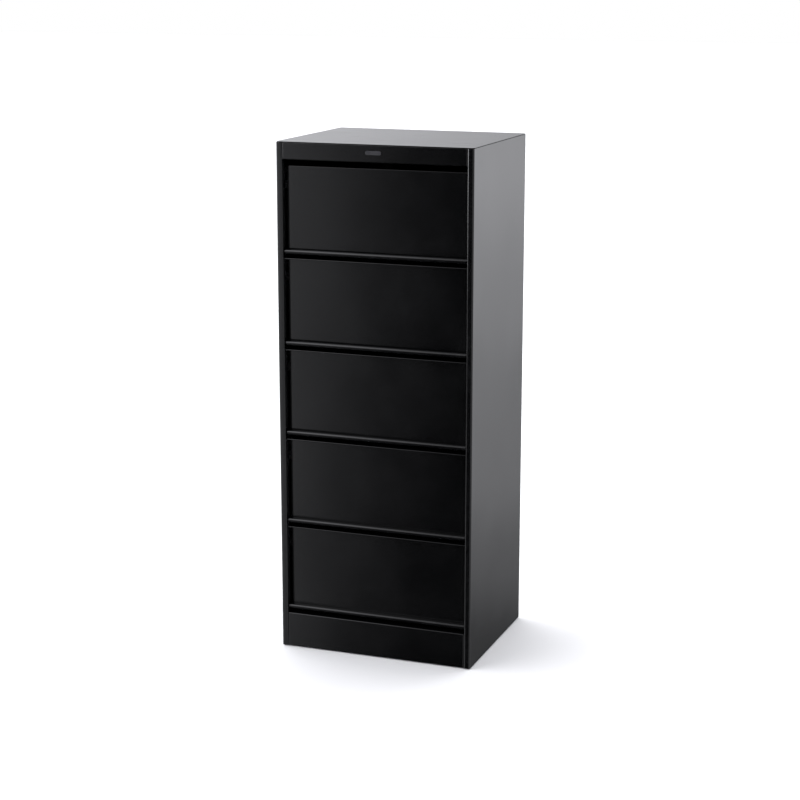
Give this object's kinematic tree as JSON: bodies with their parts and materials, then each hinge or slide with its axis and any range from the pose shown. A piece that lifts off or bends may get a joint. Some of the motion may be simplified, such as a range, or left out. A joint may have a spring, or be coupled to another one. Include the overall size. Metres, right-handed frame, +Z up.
{
  "type": "filing cabinet",
  "caption": "Tall narrow black sheet-steel filing cabinet with recessed flap doors that lift and slide back over open compartments.",
  "frame": {"origin": "middle of the footprint, on the floor", "axes": "+Z up, front faces -Y, +X to the right of someone facing the front"},
  "size_m": [0.42, 0.345, 1.07],
  "materials": {
    "black_lacquer": "satin black lacquer on folded sheet steel",
    "zinc_steel": "zinc-plated rolled steel",
    "rod_steel": "drawn bright steel",
    "nylon": "moulded black nylon",
    "rubber": "matt black rubber",
    "badge": "satin, anodised dark, blank"
  },
  "bodies": {
    "cabinet": {"side_panel_left": "black_lacquer", "side_panel_right": "black_lacquer", "top_panel": "black_lacquer", "top_rail": "black_lacquer", "badge_plate": "badge", "back_panel": "black_lacquer", "base_plinth": "black_lacquer", "rear_base_rail": "black_lacquer", "foot_glide_front_left": "rubber", "foot_glide_front_right": "rubber", "foot_glide_rear_left": "rubber", "foot_glide_rear_right": "rubber", "floor_panel": "black_lacquer", "ceiling_panel": "black_lacquer", "shelf_1": "black_lacquer", "shelf_2": "black_lacquer", "shelf_3": "black_lacquer", "shelf_4": "black_lacquer", "guide_rail_1_left": "zinc_steel", "guide_rail_1_right": "zinc_steel", "guide_rail_2_left": "zinc_steel", "guide_rail_2_right": "zinc_steel", "guide_rail_3_left": "zinc_steel", "guide_rail_3_right": "zinc_steel", "guide_rail_4_left": "zinc_steel", "guide_rail_4_right": "zinc_steel", "guide_rail_5_left": "zinc_steel", "guide_rail_5_right": "zinc_steel"},
    "carriage_1": {"hinge_rod_1": "rod_steel", "glide_shoe_1_left": "nylon", "glide_shoe_1_right": "nylon"},
    "flap_1": {"flap_1_panel": "black_lacquer", "flap_1_pull": "black_lacquer"},
    "carriage_2": {"hinge_rod_2": "rod_steel", "glide_shoe_2_left": "nylon", "glide_shoe_2_right": "nylon"},
    "flap_2": {"flap_2_panel": "black_lacquer", "flap_2_pull": "black_lacquer"},
    "carriage_3": {"hinge_rod_3": "rod_steel", "glide_shoe_3_left": "nylon", "glide_shoe_3_right": "nylon"},
    "flap_3": {"flap_3_panel": "black_lacquer", "flap_3_pull": "black_lacquer"},
    "carriage_4": {"hinge_rod_4": "rod_steel", "glide_shoe_4_left": "nylon", "glide_shoe_4_right": "nylon"},
    "flap_4": {"flap_4_panel": "black_lacquer", "flap_4_pull": "black_lacquer"},
    "carriage_5": {"hinge_rod_5": "rod_steel", "glide_shoe_5_left": "nylon", "glide_shoe_5_right": "nylon"},
    "flap_5": {"flap_5_panel": "black_lacquer", "flap_5_pull": "black_lacquer"}
  },
  "joints": [
    {"name": "flap_1_push", "type": "slide", "parent": "cabinet", "child": "carriage_1", "axis": [0, 1, 0], "range_m": [0, 0.12]},
    {"name": "flap_1_lift", "type": "hinge", "parent": "carriage_1", "child": "flap_1", "pos_m": [0, -0.1485, 0.9806], "axis": [-1, 0, 0], "range_deg": [0, 90]},
    {"name": "flap_2_push", "type": "slide", "parent": "cabinet", "child": "carriage_2", "axis": [0, 1, 0], "range_m": [0, 0.12]},
    {"name": "flap_2_lift", "type": "hinge", "parent": "carriage_2", "child": "flap_2", "pos_m": [0, -0.1485, 0.7911], "axis": [-1, 0, 0], "range_deg": [0, 90]},
    {"name": "flap_3_push", "type": "slide", "parent": "cabinet", "child": "carriage_3", "axis": [0, 1, 0], "range_m": [0, 0.12]},
    {"name": "flap_3_lift", "type": "hinge", "parent": "carriage_3", "child": "flap_3", "pos_m": [0, -0.1485, 0.6016], "axis": [-1, 0, 0], "range_deg": [0, 90]},
    {"name": "flap_4_push", "type": "slide", "parent": "cabinet", "child": "carriage_4", "axis": [0, 1, 0], "range_m": [0, 0.12]},
    {"name": "flap_4_lift", "type": "hinge", "parent": "carriage_4", "child": "flap_4", "pos_m": [0, -0.1485, 0.4121], "axis": [-1, 0, 0], "range_deg": [0, 90]},
    {"name": "flap_5_push", "type": "slide", "parent": "cabinet", "child": "carriage_5", "axis": [0, 1, 0], "range_m": [0, 0.12]},
    {"name": "flap_5_lift", "type": "hinge", "parent": "carriage_5", "child": "flap_5", "pos_m": [0, -0.1485, 0.2226], "axis": [-1, 0, 0], "range_deg": [0, 90]}
  ]
}
